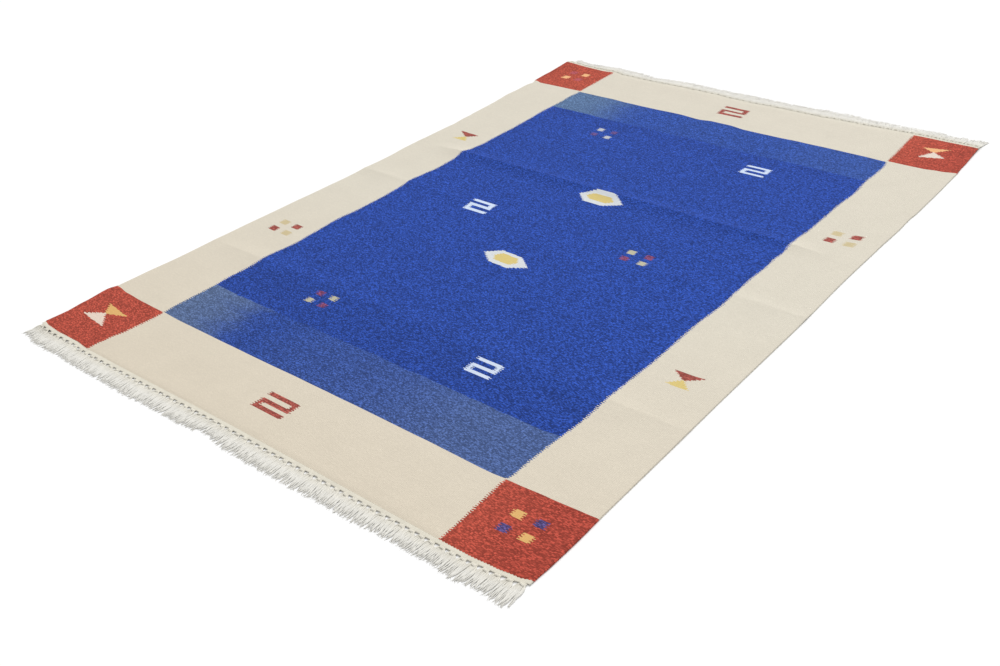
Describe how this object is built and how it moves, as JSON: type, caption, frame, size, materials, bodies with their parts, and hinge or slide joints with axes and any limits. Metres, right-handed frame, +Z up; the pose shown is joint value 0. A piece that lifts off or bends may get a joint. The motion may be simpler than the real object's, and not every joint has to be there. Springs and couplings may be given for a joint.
{
  "type": "kilim rug",
  "caption": "Flat-woven wool rug lying on the floor: a rectangle with slightly uneven sides, low cross creases, a curled corner and a knotted cotton fringe at both short ends.",
  "frame": {"origin": "middle of the rug's outer box on the floor, fringes included", "axes": "+X across the width, +Y along the length towards the far fringe, +Z up off the floor"},
  "size_m": [1.6234, 2.482, 0.018],
  "materials": {
    "wool_weave": "matte heathered wool, weft-faced flat weave: blue field, cream border, red corner squares, small motifs",
    "cotton_warp": "matte off-white twisted cotton yarn"
  },
  "bodies": {
    "root": {"kilim_cloth": "wool_weave", "fringe_front": "cotton_warp", "fringe_back": "cotton_warp"}
  },
  "joints": []
}
